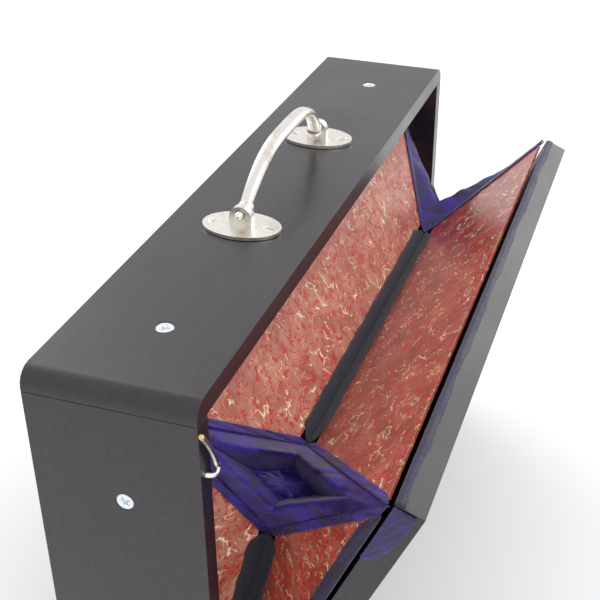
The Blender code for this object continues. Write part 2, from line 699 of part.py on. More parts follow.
def build_stops(ivory, ebony):
    """Thirteen stops, dark ones for the sharps, each turning on its own screw."""
    sharps = (1, 3, 6, 8, 10)
    face = NOTE_BACK + GAP
    level = NOTE_HOLE_HEIGHT + STOP_ARM
    for index, x in enumerate(note_places()):
        name = "note_stop_%02d" % (index + 1)
        pivot = add_pivot(name + "_pivot", (x, face, level))
        colour = ebony if index % 12 in sharps else ivory
        lever = prism(name, stop_outline(), Vector((0, 0, 0)), AXIS_X, AXIS_Z, -STOP, 0.0, colour, pivot)
        bore = bmesh.new()
        margin = 0.001
        add_turned(bore, [(-margin, STOP_SCREW_SHANK / 2 + GAP), (STOP + margin, STOP_SCREW_SHANK / 2 + GAP)],
                   Vector((0, 0, 0)), AXIS_Y, 10)
        cut(lever, add_object(name + "_bore", bore, colour, pivot))


def bail_point(turn):
    """Centre line of the bail over its pivot line, for turn from -1 to 1."""
    half = HANDLE_SPAN / 2 - EAR / 2 - BAIL_END_GAP - BAIL_THICK / 2
    return Vector((half * turn, 0.0, BAIL_RISE * (1.0 - abs(turn) ** BAIL_POWER)))


def build_handle(plated, zinc, top):
    """Two oval plates, each with an upright ear, and a bail whose pins turn in the ears."""
    level = CASE_HEIGHT + GAP
    pivot_level = CASE_HEIGHT + GAP + PLATE + PIVOT_HEIGHT
    screw_places = []
    for name, side in (("left_handle_plate", -1), ("right_handle_plate", 1)):
        x = side * HANDLE_SPAN / 2
        outline = circle_points(0.5, PLATE_SIDES, (0.0, 0.0), (PLATE_WIDTH, PLATE_LENGTH))
        plate = prism(name, outline, Vector((x, 0.0, level)), AXIS_X, AXIS_Y, 0.0, PLATE, plated)
        ear_half = EAR_WIDTH / 2
        ear_top = PLATE + EAR_HEIGHT
        shape = [(-ear_half, PLATE / 2), (ear_half, PLATE / 2)]
        shape += arc_points((0.0, ear_top - ear_half), ear_half, 0, 180, 10)
        ear = prism(name + "_ear", shape, Vector((x, 0.0, level)), AXIS_Y, AXIS_Z, -EAR / 2, EAR / 2, plated)
        ear.hide_render = True
        ear.display_type = "WIRE"
        union = plate.modifiers.new("ear", "BOOLEAN")
        union.operation = "UNION"
        union.solver = "EXACT"
        union.object = ear
        holes = bmesh.new()
        margin = 0.001
        pin_hole = PIVOT_PIN / 2 + PIVOT_PIN_GAP
        add_turned(holes, [(-EAR / 2 - margin, pin_hole), (EAR / 2 + margin, pin_hole)],
                   Vector((x, 0.0, pivot_level)), AXIS_X, 12)
        for way in (-1, 1):
            place = Vector((x, way * PLATE_SCREW_SPACING / 2, level + PLATE))
            screw_places.append(place)
            add_turned(holes, screw_profile(PLATE_SCREW_HEAD, PLATE * 0.8, PLATE_SCREW_SHANK,
                                            PLATE_SCREW_LENGTH, GAP, margin), place, AXIS_Z, 12)
        cut(plate, add_object(name + "_holes", holes, plated))
        round_smooth(plate, 35.0)

    drilled = bmesh.new()
    for number, place in enumerate(screw_places):
        shape = screw_profile(PLATE_SCREW_HEAD, PLATE * 0.8, PLATE_SCREW_SHANK, PLATE_SCREW_LENGTH)
        screw = bmesh.new()
        add_turned(screw, shape, place, AXIS_Z, 12)
        round_smooth(add_object("handle_screw_%d" % (number + 1), screw, plated), 30.0)
        hole = PLATE_SCREW_SHANK / 2 + GAP
        add_turned(drilled, [(-PLATE_SCREW_LENGTH - GAP, hole), (0.001, hole)], place, AXIS_Z, 12)
    cut(top, add_object("handle_screw_holes", drilled, zinc))

    pivot = add_pivot("bail_pivot", (0.0, 0.0, pivot_level), (BAIL_LEAN, 0.0, 0.0))
    builder = bmesh.new()
    rings = []
    step = 0.001
    pin_reach = EAR + 2 * BAIL_END_GAP + PIN_END
    outer = HANDLE_SPAN / 2 - EAR / 2 - BAIL_END_GAP

    def pin_ring(x, radius):
        return [Vector((x, a, b)) for a, b in circle_points(radius, BAIL_SIDES)]

    pin = PIVOT_PIN / 2
    tip = outer + pin_reach
    rings.append(pin_ring(-tip, pin * 0.6))
    rings.append(pin_ring(-tip + PIN_END * 0.4, pin))
    rings.append(pin_ring(-outer, pin))
    rings.append(pin_ring(-outer, BAIL_EYE / 2))
    for index in range(BAIL_STEPS + 1):
        turn = -math.cos(math.pi * index / BAIL_STEPS)
        centre = bail_point(turn)
        ahead = bail_point(min(turn + step, 1.0)) - bail_point(max(turn - step, -1.0))
        way = ahead.normalized()
        if index in (0, BAIL_STEPS):
            continue
        outward = way.cross(AXIS_Y)
        rings.append([centre + AXIS_Y * (a * BAIL_WIDE) + outward * (b * BAIL_THICK)
                      for a, b in circle_points(0.5, BAIL_SIDES)])
    rings.append(pin_ring(outer, BAIL_EYE / 2))
    rings.append(pin_ring(outer, pin))
    rings.append(pin_ring(tip - PIN_END * 0.4, pin))
    rings.append(pin_ring(tip, pin * 0.6))
    loft(builder, rings)
    round_smooth(add_object("handle_bail", builder, plated, pivot), 50.0)


def build_hook(plated, left_board):
    """Bent wire that screws into the front edge of the left end board and turns there."""
    x = -(INNER_HALF + BOARD / 2)
    pivot = add_pivot("hook_pivot", (x, FRONT, HOOK_HEIGHT))
    stand = -HOOK_STANDOFF
    lean = Vector((-math.sin(HOOK_LEAN), 0.0, math.cos(HOOK_LEAN)))
    elbow = Vector((HOOK_OFFSET, stand, 0.0))
    bow = Vector((HOOK_WIRE * 0.6, 0.0, 0.0))
    path = [Vector((0.0, HOOK_SCREW_DEPTH, 0.0)), Vector((0.0, HOOK_WIRE * 0.3, 0.0)),
            Vector((HOOK_OFFSET * 0.2, stand * 0.7, 0.0)), Vector((HOOK_OFFSET * 0.7, stand, 0.0)),
            elbow + Vector((HOOK_WIRE * 0.3, 0.0, HOOK_WIRE * 0.6))]
    for share in (0.2, 0.4, 0.6, 0.8, 1.0):
        path.append(elbow + lean * (HOOK_ARM * share) + bow * math.sin(math.pi * share))
    builder = bmesh.new()
    rings = []
    last = len(path) - 1
    side = AXIS_X
    for index, point in enumerate(path):
        way = (path[min(index + 1, last)] - path[max(index - 1, 0)]).normalized()
        side = (side - way * side.dot(way)).normalized()
        other = way.cross(side)
        rings.append([point + side * a + other * b for a, b in circle_points(HOOK_WIRE / 2, HOOK_SIDES)])
    loft(builder, rings)
    round_smooth(add_object("turn_hook", builder, plated, pivot), 60.0)
    hole = bmesh.new()
    radius = HOOK_WIRE / 2 + GAP
    add_turned(hole, [(-0.001, radius), (HOOK_SCREW_DEPTH + GAP, radius)],
               Vector((x, FRONT, HOOK_HEIGHT)), AXIS_Y, HOOK_SIDES)
    cut(left_board, add_object("hook_hole", hole, plated))


def main():
    clear_scene()
    lacquer = finish("black_lacquer", 0.030, 0.027, 0.032, 0.35)
    wood = finish("stained_wood", 0.045, 0.035, 0.032, 0.5)
    card = finish("marbled_paper", 0.50, 0.16, 0.11, 0.4)
    leather = finish("purple_leather", 0.045, 0.010, 0.20, 0.55)
    valve_leather = finish("pale_leather", 0.62, 0.52, 0.38, 0.8)
    tape = finish("navy_cloth_tape", 0.012, 0.009, 0.030, 0.7)
    plated = finish("nickel_plate", 0.78, 0.74, 0.71, 0.22, 1.0)
    zinc = finish("zinc_plate", 0.75, 0.76, 0.80, 0.3, 1.0)
    steel = finish("spring_steel", 0.45, 0.46, 0.48, 0.3, 1.0)
    brass = finish("reed_brass", 0.70, 0.50, 0.22, 0.35, 1.0)
    ivory = finish("ivory_stop", 0.80, 0.75, 0.62, 0.35)
    ebony = finish("ebony_stop", 0.02, 0.02, 0.02, 0.3)
    top, left, screw_holes = build_case(lacquer, zinc)
    build_centre(wood, screw_holes)
    pump = build_pump(lacquer, valve_leather)
    pivots = build_ribs(card, pump)
    build_bellows_leather(leather, tape, pump, pivots)
    build_reservoir(wood, leather, steel)
    build_reed_chest(wood, brass)
    build_stops(ivory, ebony)
    build_handle(plated, zinc, top)
    build_hook(plated, left)


main()
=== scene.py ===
"""Looks of the shruti box: lacquered case, marbled ribs, purple leather and cloth in the
bellows, cast handle, wire hook, and the stops and reservoir at the back."""
import json
import math

import bmesh
import bpy
import numpy as np
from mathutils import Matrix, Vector


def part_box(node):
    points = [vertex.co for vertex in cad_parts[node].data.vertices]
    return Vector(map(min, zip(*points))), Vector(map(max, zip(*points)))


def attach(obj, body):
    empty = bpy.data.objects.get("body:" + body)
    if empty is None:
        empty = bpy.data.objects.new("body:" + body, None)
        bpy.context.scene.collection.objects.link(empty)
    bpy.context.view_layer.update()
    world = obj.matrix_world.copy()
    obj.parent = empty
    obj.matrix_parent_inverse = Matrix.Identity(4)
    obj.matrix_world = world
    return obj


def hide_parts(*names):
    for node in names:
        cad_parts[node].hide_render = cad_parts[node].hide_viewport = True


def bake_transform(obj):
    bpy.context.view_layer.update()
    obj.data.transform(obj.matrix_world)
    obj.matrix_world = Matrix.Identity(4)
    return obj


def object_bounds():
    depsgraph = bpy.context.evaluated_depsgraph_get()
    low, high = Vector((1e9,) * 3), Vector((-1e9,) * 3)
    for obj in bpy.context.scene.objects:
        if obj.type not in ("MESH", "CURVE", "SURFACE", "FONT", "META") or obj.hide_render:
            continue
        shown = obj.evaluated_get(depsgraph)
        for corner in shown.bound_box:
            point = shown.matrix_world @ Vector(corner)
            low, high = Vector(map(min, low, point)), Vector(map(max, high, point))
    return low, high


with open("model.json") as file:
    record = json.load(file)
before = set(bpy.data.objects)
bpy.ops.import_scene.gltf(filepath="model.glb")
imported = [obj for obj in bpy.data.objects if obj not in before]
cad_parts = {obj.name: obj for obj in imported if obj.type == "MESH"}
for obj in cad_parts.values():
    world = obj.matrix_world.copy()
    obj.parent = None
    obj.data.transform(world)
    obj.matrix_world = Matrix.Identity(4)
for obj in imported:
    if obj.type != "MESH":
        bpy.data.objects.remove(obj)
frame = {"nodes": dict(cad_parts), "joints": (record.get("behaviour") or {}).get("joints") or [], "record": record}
cad_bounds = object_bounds()
JOINTS = {joint["name"]: joint for joint in frame["joints"]}
BODY_OF = {node: body for body, nodes in frame["record"]["behaviour"]["bodies"].items() for node in nodes}
SLOT_OF = {part["node"]: part["material_slot"] for part in frame["record"]["subparts"]}
SIDES = (("left", -1), ("right", 1))
ALONG_CASE = np.array([1.0, 0, 0])

# Bellows: the ribs, the pump board's height, and the gap between glued leather and its board
PUMP_OPEN = math.radians(-JOINTS["pump_hinge"]["range_deg"][0])
RIB = 0.0020
TOP_RIB_WIDTH = 0.0769
TOP_RIB_MITRE = 0.079
END_RIB_TIP = 0.0522
END_RIB_ANGLE = math.radians(43.575)
END_RIB_TIP_DROP = 0.0864
END_RIB_APEX_DROP = 0.025636
END_RIB_FOOT = 0.022
PUMP_TALL = 0.233
LIFT = 0.0004

# Leather and cloth
GUSSET_THICK = 0.0008
GUSSET_SLOPE = 0.004
GUSSET_HOLLOW = 0.028
GUSSET_WALL = (0.66, 0.36)
EDGING_THICK = 0.0005
EDGING_OVERHANG = 0.0006
MITRE_EDGING = 0.0034
HINGE_EDGING = 0.0070
HINGE_EDGING_DROP = 0.006
VALLEY_TAPE_THICK = 0.0007
TOP_TAPE_REACH = (0.0092, 0.0060)
END_TAPE_REACH = (0.0110, 0.0070)
BOARD_TAPE_ON_TOP = 0.0040
BOARD_TAPE_DOWN = 0.0013
BOARD_TAPE_INSET = 0.0006
TAB_WIDE = 0.0105
TAB_TALL = 0.034
TAB_BELOW_TOP = 0.001
TAB_THICK = 0.0006
SKIRT_THICK = 0.0006
SKIRT_PLEAT = 0.0016
SKIRT_INSET = 0.002

# Handle, hook and screws
HANDLE_SPAN = 0.120
EAR = 0.0042
BAIL_RISE = 0.0240
BAIL_POWER = 3.4
BAIL_LEAN = math.radians(8.0)
BAIL_HALF = 0.0544
KNUCKLE_LENGTH = 0.0035
HOOK_WIRE = 0.0024
HOOK_ARM = 0.031
HOOK_LEAN = math.radians(27)
HOOK_BOW = 0.0016
CASE_SCREW_HEAD = 0.0084
HANDLE_SCREW_HEAD = 0.0062
STOP_FACE = 0.0031

# Easing of edges
BOARD_EDGE = 0.0007
INNER_EDGE = 0.0005
THIN_EDGE = 0.0003
EDGE_ANGLE = math.radians(32)

# Photograph's camera
CAMERA_PLACE = (-0.5355, -0.2007, 0.5368)
CAMERA_BACK = (-0.8051, -0.2532, 0.5364)
CAMERA_ROLL = math.radians(0.61)
CAMERA_LENS = 68.16
CAMERA_SENSOR = 36.0
CAMERA_SHIFT = (-0.0618, 0.0471)

# Lamps: name, place, size and power. They face the middle of the box.
LAMPS = (("key", (-0.9, -1.5, 1.9), 1.5, 16.0), ("back_fill", (0.9, 1.6, 1.6), 1.6, 12.0),
         ("side", (1.7, -0.9, 1.2), 1.2, 8.0))
LAMP_TARGET = (0, 0, 0.15)
WORLD_STRENGTH = 1.0
FLOOR_HALF = 3


def spot(name):
    """Where a joint's axis passes, in the frame."""
    return np.array(JOINTS[name]["pos_m"], float)


def unit(vector):
    return vector / np.linalg.norm(vector)


# Materials

def shade(name, colour, roughness, metallic=0.0, **sockets):
    """A Principled material and its node tree, ready for textures."""
    material = bpy.data.materials.new(name)
    material.use_nodes = True
    shader = material.node_tree.nodes["Principled BSDF"]
    shader.inputs["Base Color"].default_value = (*colour, 1.0)
    shader.inputs["Roughness"].default_value = roughness
    shader.inputs["Metallic"].default_value = metallic
    for socket, value in sockets.items():
        shader.inputs[socket.replace("_", " ")].default_value = value
    return material


def add(material, kind, settings=None, **inputs):
    """A node with its settings, and its inputs given as values or links. i0 is the first input."""
    item = material.node_tree.nodes.new("ShaderNode" + kind)
    for key, value in (settings or {}).items():
        setattr(item, key, value)
    for key, value in inputs.items():
        socket = item.inputs[int(key[1:])] if key[0] == "i" and key[1:].isdigit() else item.inputs[key]
        if isinstance(value, bpy.types.NodeSocket):
            material.node_tree.links.new(value, socket)
        else:
            socket.default_value = value
    return item


def places(material, stretch=(1.0, 1.0, 1.0)):
    """Object coordinates, stretched for grain that runs one way."""
    source = add(material, "TexCoord").outputs["Object"]
    return add(material, "Mapping", Vector=source, Scale=stretch).outputs["Vector"]


def noise(material, where, scale, detail=4.0, roughness=0.55, distortion=0.0):
    return add(material, "TexNoise", Vector=where, Scale=scale, Detail=detail,
               Roughness=roughness, Distortion=distortion).outputs["Fac"]


def level(material, value, low, high, to_low=0.0, to_high=1.0):
    """Value carried from low..high to another range, clamped and eased."""
    item = add(material, "MapRange", {"interpolation_type": "SMOOTHSTEP"}, Value=value)
    for key, number in (("From Min", low), ("From Max", high), ("To Min", to_low), ("To Max", to_high)):
        item.inputs[key].default_value = number
    return item.outputs["Result"]


def mix(material, amount, first, second):
    """Colour mix, where a colour is a socket or three numbers."""
    item = add(material, "Mix", {"data_type": "RGBA"})
    for index, value in ((0, amount), (6, first), (7, second)):
        if isinstance(value, bpy.types.NodeSocket):
            material.node_tree.links.new(value, item.inputs[index])
        else:
            item.inputs[index].default_value = value if index == 0 else (*value, 1.0)
    return item.outputs[2]


def combine(material, operation, first, second):
    return add(material, "Math", {"operation": operation}, i0=first, i1=second).outputs[0]


def shifted(material, where, by):
    """A place moved by another vector."""
    return add(material, "VectorMath", {"operation": "ADD"}, i0=where, i1=by).outputs["Vector"]


def drive(material, **sockets):
    """Link sockets of the shader, by name."""
    shader = material.node_tree.nodes["Principled BSDF"]
    for key, value in sockets.items():
        material.node_tree.links.new(value, shader.inputs[key.replace("_", " ")])


def bump(material, height, distance):
    item = add(material, "Bump", Height=height, Distance=distance, Strength=1.0)
    drive(material, Normal=item.outputs["Normal"])


def black_lacquer():
    """Satin black lacquer, faintly streaked along the grain, with soft unevenness of gloss."""
    deep, worn = (0.009, 0.007, 0.010), (0.019, 0.014, 0.021)
    along_grain = (6.0, 90.0, 90.0)
    material = shade("black_lacquer", (0.014, 0.012, 0.015), 0.34, Coat_Weight=0.25, Coat_Roughness=0.22)
    grain = noise(material, places(material, along_grain), 4.0, 6.0, 0.6)
    cloud = noise(material, places(material), 14.0, 3.0)
    gloss = combine(material, "ADD", cloud, combine(material, "MULTIPLY", grain, 0.4))
    drive(material, Base_Color=mix(material, level(material, grain, 0.35, 0.7), deep, worn),
          Roughness=level(material, gloss, 0.4, 0.95, 0.27, 0.43))
    bump(material, combine(material, "ADD", grain, noise(material, places(material), 900.0, 2.0)), 0.00004)
    return material


def stained_wood():
    """Dark stain over open grain that runs along X."""
    pore, stain = (0.016, 0.011, 0.010), (0.060, 0.038, 0.028)
    along_grain = (3.0, 60.0, 60.0)
    material = shade("stained_wood", (0.03, 0.02, 0.017), 0.55)
    rings = noise(material, places(material, along_grain), 6.0, 8.0, 0.65, 0.8)
    drive(material, Base_Color=mix(material, level(material, rings, 0.38, 0.66), pore, stain),
          Roughness=level(material, rings, 0.3, 0.7, 0.45, 0.65))
    bump(material, rings, 0.00012)
    return material


def marbled_paper(name, ground, light, dark, run):
    """Marbled paper: a clouded ground under red flecks and broken gold and cream veins.

    A vein is the narrow band round the edges of warped cells, kept only where a coarser noise is high.
    """
    material = shade(name, ground, 0.32, Coat_Weight=0.35, Coat_Roughness=0.2)
    flat = places(material, run)
    drift = add(material, "TexNoise", Vector=flat, Scale=70.0, Detail=3.0).outputs["Color"]
    drift = add(material, "VectorMath", {"operation": "SCALE"}, i0=drift, Scale=0.020).outputs["Vector"]
    warped = shifted(material, flat, drift)
    colour = mix(material, level(material, noise(material, warped, 60.0, 5.0), 0.36, 0.68), dark, light)
    colour = mix(material, level(material, noise(material, warped, 420.0, 3.0), 0.52, 0.66), colour, ground)

    def veins(scale, width, cover_scale, cover_low, cover_high, seed):
        moved = shifted(material, warped, (seed, seed * 0.7, seed * 0.3))
        cells = add(material, "TexVoronoi", {"feature": "DISTANCE_TO_EDGE"}, Vector=moved, Scale=scale)
        line = level(material, cells.outputs["Distance"], width * 0.4, width, 1.0, 0.0)
        broken = level(material, noise(material, moved, cover_scale, 3.0, 0.6), cover_low, cover_high)
        return combine(material, "MULTIPLY", line, broken)

    for vein, tone in (((230.0, 0.13, 190.0, 0.49, 0.57, 1.7), (0.50, 0.012, 0.014)),
                       ((360.0, 0.16, 250.0, 0.53, 0.61, 4.1), (0.44, 0.010, 0.012)),
                       ((170.0, 0.065, 140.0, 0.54, 0.61, 7.9), (0.62, 0.40, 0.16)),
                       ((130.0, 0.055, 100.0, 0.56, 0.62, 11.3), (0.86, 0.72, 0.50))):
        colour = mix(material, veins(*vein), colour, tone)
    specks = level(material, noise(material, warped, 700.0, 2.0), 0.70, 0.76)
    drive(material, Base_Color=mix(material, specks, colour, (0.80, 0.58, 0.34)))
    bump(material, noise(material, flat, 1200.0, 2.0), 0.00003)
    return material


def dyed_leather(name, deep, bright):
    """Thin dyed leather with a fine grain, creases and a soft sheen. It is darker in a slow random cloud of tone,
    and darker in the hollows of the creases, which is painted shade.
    """
    material = shade(name, bright, 0.46, Sheen_Weight=0.25, Sheen_Roughness=0.4)
    where = places(material)
    cloud = noise(material, where, 45.0, 5.0, 0.6)
    crease = noise(material, places(material, (1.0, 0.35, 1.0)), 240.0, 4.0, 0.6, 0.6)
    grain = add(material, "TexVoronoi", Vector=where, Scale=1300.0).outputs["Distance"]
    # Low in the random cloud gives real tone; low in the creases, where the bump is sunk, gives painted shade.
    tone = level(material, combine(material, "MULTIPLY", cloud, crease), 0.16, 0.36)
    drive(material, Base_Color=mix(material, tone, deep, bright),
          Roughness=level(material, cloud, 0.3, 0.7, 0.34, 0.56))
    bump(material, combine(material, "ADD", crease, combine(material, "MULTIPLY", grain, 0.3)), 0.00035)
    return material


def cloth_tape():
    """Glazed navy bookcloth: crossed threads in brushy tones, with painted shade where the weave is sunk between
    them.
    """
    shadow, thread = (0.0035, 0.003, 0.009), (0.016, 0.013, 0.042)
    material = shade("cloth_tape", (0.006, 0.005, 0.016), 0.58, Sheen_Weight=0.15)
    threads = noise(material, places(material, (250.0, 30.0, 1600.0)), 4.0, 2.0)
    cross = noise(material, places(material, (1600.0, 600.0, 30.0)), 3.0, 2.0)
    weave = combine(material, "MULTIPLY", threads, cross)
    # The shadow colour is painted shade in the sunk parts of the weave, where the bump is low.
    drive(material, Base_Color=mix(material, level(material, weave, 0.18, 0.36), shadow, thread))
    bump(material, weave, 0.0002)
    return material


def pale_leather():
    """Undyed suede with a slow cloud of tone and a fine nap."""
    worn, clean = (0.44, 0.33, 0.22), (0.64, 0.54, 0.40)
    material = shade("pale_leather", (0.55, 0.44, 0.31), 0.78)
    where = places(material)
    cloud = level(material, noise(material, where, 60.0, 6.0), 0.35, 0.68)
    drive(material, Base_Color=mix(material, cloud, worn, clean))
    bump(material, noise(material, where, 1400.0, 3.0), 0.00012)
    return material


def plated(name, bright, stain, low, high, cast):
    """Plated metal: patchy gloss, stain in places and a skin as rough as cast says."""
    material = shade(name, bright, low, 1.0)
    where = places(material)
    patch = noise(material, where, 110.0, 5.0, 0.6)
    pits = noise(material, where, 900.0, 4.0, 0.65)
    gloss = combine(material, "ADD", patch, combine(material, "MULTIPLY", pits, 0.3))
    drive(material, Base_Color=mix(material, level(material, patch, 0.52, 0.74), bright, stain),
          Roughness=level(material, gloss, 0.4, 0.9, low, high))
    bump(material, combine(material, "ADD", pits, combine(material, "MULTIPLY", patch, 2.0)), cast)
    return material


def moulded(name, first, second):
    """Stop button plastic: a slow cloud of tone and a buffed surface."""
    material = shade(name, first, 0.3, Coat_Weight=0.2)
    where = places(material)
    cloud = level(material, noise(material, where, 130.0, 5.0), 0.35, 0.7)
    drive(material, Base_Color=mix(material, cloud, first, second),
          Roughness=level(material, noise(material, where, 300.0, 3.0), 0.3, 0.7, 0.22, 0.4))
    bump(material, noise(material, where, 1000.0, 2.0), 0.00003)
    return material


LACQUER = black_lacquer()
WOOD = stained_wood()
PAPER_CASE = marbled_paper("marbled_paper_rose", (0.46, 0.150, 0.095), (0.56, 0.235, 0.165),
                           (0.36, 0.095, 0.060), (1.0, 1.0, 1.0))
PAPER_PUMP = marbled_paper("marbled_paper_red", (0.36, 0.080, 0.055), (0.45, 0.130, 0.085),
                           (0.24, 0.045, 0.032), (1.0, 1.4, 1.4))
LEATHER = dyed_leather("purple_leather", (0.012, 0.0025, 0.060), (0.032, 0.0065, 0.235))
DARK_LEATHER = dyed_leather("dark_leather", (0.006, 0.002, 0.018), (0.016, 0.006, 0.060))
TAPE = cloth_tape()
SUEDE = pale_leather()
NICKEL = plated("nickel_plate", (0.80, 0.77, 0.73), (0.66, 0.57, 0.45), 0.10, 0.30, 0.00016)
ZINC = plated("zinc_plate", (0.76, 0.79, 0.84), (0.60, 0.63, 0.66), 0.22, 0.40, 0.00004)
STEEL = plated("spring_steel", (0.42, 0.43, 0.46), (0.26, 0.26, 0.28), 0.24, 0.42, 0.00003)
BRASS = plated("reed_brass", (0.72, 0.50, 0.20), (0.50, 0.32, 0.12), 0.24, 0.42, 0.00004)
IVORY = moulded("ivory_stop", (0.76, 0.70, 0.56), (0.62, 0.54, 0.40))
EBONY = moulded("ebony_stop", (0.020, 0.019, 0.020), (0.008, 0.008, 0.009))
FINISHES = {"black_lacquer": LACQUER, "stained_wood": WOOD, "marbled_paper": PAPER_CASE,
            "purple_leather": LEATHER, "pale_leather": SUEDE, "cloth_tape": TAPE, "zinc_plate": ZINC,
            "nickel_plate": NICKEL, "spring_steel": STEEL, "reed_brass": BRASS, "ivory": IVORY,
            "ebony": EBONY}


# Shapes

def place_piece(name, mesh, material, body, stands_for=()):
    """An object of its own for a mesh, riding on a body and standing for CAD nodes if it is given them."""
    mesh.materials.clear()
    mesh.materials.append(material)
    item = bpy.data.objects.new(name, mesh)
    bpy.context.scene.collection.objects.link(item)
    if body:
        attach(item, body)
    if stands_for:
        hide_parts(*stands_for)
    return item


def surface_mesh(name, points, wrap=False, caps=False):
    """A mesh from a grid of points: rows along the first axis, joined round the second if wrap."""
    rows, columns = points.shape[:2]
    index = np.arange(rows * columns).reshape(rows, columns)
    if wrap:
        index = np.hstack([index, index[:, :1]])
    quads = np.stack([index[:-1, :-1], index[1:, :-1], index[1:, 1:], index[:-1, 1:]], -1)
    quads = quads.reshape(-1, 4).tolist()
    if caps:
        quads += [index[0, :columns].tolist(), index[-1, :columns].tolist()[::-1]]
    mesh = bpy.data.meshes.new(name)
    mesh.from_pydata(points.reshape(-1, 3).tolist(), [], quads)
    builder = bmesh.new()
    builder.from_mesh(mesh)
    bmesh.ops.recalc_face_normals(builder, faces=builder.faces)
    builder.to_mesh(mesh)
    builder.free()
    mesh.shade_smooth()
    return mesh


def turned_mesh(name, shape, centre, axis, sides):
    """A turned solid: (distance along axis, radius) pairs swept round the axis."""
    axis = unit(np.array(axis, float))
    side = unit(np.cross(axis, [0.3, 0.5, 0.81]))
    other = np.cross(axis, side)
    turn = np.linspace(0, 2 * np.pi, sides, endpoint=False)
    ring = side[None] * np.cos(turn)[:, None] + other[None] * np.sin(turn)[:, None]
    shape = np.array(shape)
    points = centre + shape[:, 0][:, None, None] * axis + shape[:, 1][:, None, None] * ring[None]
    return surface_mesh(name, points, True, True)


def tube_points(path, wide, thick, sides, across, power=2.0):
    """A tube along a path: at each point a superellipse, wide along 'across' and thick square to it."""
    way = np.gradient(path, axis=0)
    way /= np.linalg.norm(way, axis=1)[:, None]
    side = across - way * (way @ across)[:, None]
    side /= np.linalg.norm(side, axis=1)[:, None]
    other = np.cross(way, side)
    turn = np.linspace(0, 2 * np.pi, sides, endpoint=False)
    a = np.sign(np.cos(turn)) * np.abs(np.cos(turn)) ** (2 / power)
    b = np.sign(np.sin(turn)) * np.abs(np.sin(turn)) ** (2 / power)
    wide, thick = np.broadcast_to(wide, len(path)), np.broadcast_to(thick, len(path))
    return (path[:, None] + side[:, None] * (a[None, :, None] * wide[:, None, None] / 2)
            + other[:, None] * (b[None, :, None] * thick[:, None, None] / 2))


def smooth_path(points, steps):
    """Catmull-Rom curve: between each two points a cubic, made from them and their neighbours."""
    p = np.array(points, float)
    p = np.vstack([2 * p[0] - p[1], p, 2 * p[-1] - p[-2]])
    made = []
    t = np.linspace(0, 1, steps, endpoint=False)[:, None]
    for a, b, c, d in zip(p, p[1:], p[2:], p[3:]):
        square, cube = 2 * a - 5 * b + 4 * c - d, 3 * b - a - 3 * c + d
        made.append(0.5 * (2 * b + (c - a) * t + square * t ** 2 + cube * t ** 3))
    return np.vstack(made + [p[-2][None]])


def wander(values, seed, octaves=4, base=3.0):
    """Smooth seeded unevenness, about -1 to 1: sines of doubling frequency and falling height."""
    rng = np.random.default_rng(seed)
    total = np.zeros_like(values)
    for octave in range(octaves):
        wave = np.sin(values * base * 2 ** octave + rng.uniform(0, 2 * np.pi))
        total += wave * rng.uniform(0.5, 1.0) / 1.6 ** octave
    return total / 1.9


def thicken(item, thickness):
    """Give a surface its thickness, half to each side."""
    sheet = item.modifiers.new("thickness", "SOLIDIFY")
    sheet.thickness = thickness
    sheet.offset = 0.0


def softened(node, width, material=None, segments=2, name=None):
    """The CAD node's own shape with its doubles merged, its flat faces joined and its edges eased."""
    mesh = frame["nodes"][node].data.copy()
    builder = bmesh.new()
    builder.from_mesh(mesh)
    bmesh.ops.remove_doubles(builder, verts=builder.verts, dist=1e-6)
    bmesh.ops.dissolve_limit(builder, angle_limit=math.radians(0.5),
                             verts=builder.verts, edges=builder.edges)
    builder.to_mesh(mesh)
    builder.free()
    mesh.shade_smooth()
    slot = SLOT_OF[node]
    item = place_piece(name or node + "_eased", mesh, material or FINISHES[slot], BODY_OF[node],
                       (node,))
    edge = item.modifiers.new("eased_edges", "BEVEL")
    edge.width = width
    edge.segments = segments
    edge.limit_method = "ANGLE"
    edge.angle_limit = EDGE_ANGLE
    even = item.modifiers.new("even_faces", "WEIGHTED_NORMAL")
    even.weight = 100
    even.keep_sharp = True


# Places in the bellows, worked out from the joints

def top_valley():
    """Where the two top ribs would meet: the apex of an isosceles triangle under their hinge lines."""
    a, b = spot("top_rib_case_fold"), spot("top_rib_pump_fold")
    span = b - a
    down = unit(np.array([0.0, -span[2], span[1]]))
    if down[2] > 0:
        down = -down
    return (a + b) / 2 + down * math.sqrt(TOP_RIB_WIDTH ** 2 - (np.linalg.norm(span) / 2) ** 2)


HALF = abs(spot("left_rib_case_fold")[0])
HINGE = spot("pump_hinge")
PUMP_UP = np.array([0.0, -math.sin(PUMP_OPEN), math.cos(PUMP_OPEN)])
PUMP_IN = np.array([0.0, math.cos(PUMP_OPEN), math.sin(PUMP_OPEN)])
VALLEY = top_valley()


def corner_points(side):
    """Case corner, top fold, pump corner and end fold of the gusset on one side."""
    case = spot("top_rib_case_fold") + [side * HALF, 0, 0]
    pump = spot("top_rib_pump_fold") + [side * HALF, 0, 0]
    top = VALLEY + [side * (HALF - TOP_RIB_MITRE), 0, 0]
    end = spot("left_rib_case_fold") * [0, 1, 1] + [
        side * (HALF - END_RIB_TIP * math.cos(END_RIB_ANGLE)), -END_RIB_TIP * math.sin(END_RIB_ANGLE),
        PUMP_TALL - END_RIB_TIP_DROP]
    return case, top, pump, end


def end_valley_foot(label, side):
    """Lower end of an end valley: the ribs taper evenly from their tips to a point below the hinge."""
    drop = (PUMP_TALL - END_RIB_TIP_DROP) - END_RIB_FOOT
    taper = END_RIB_TIP / (PUMP_TALL - END_RIB_TIP_DROP + END_RIB_APEX_DROP)
    reach = END_RIB_TIP - taper * drop
    return spot(label + "_rib_case_fold") + [-side * reach * math.cos(END_RIB_ANGLE),
                                             -reach * math.sin(END_RIB_ANGLE), END_RIB_FOOT]


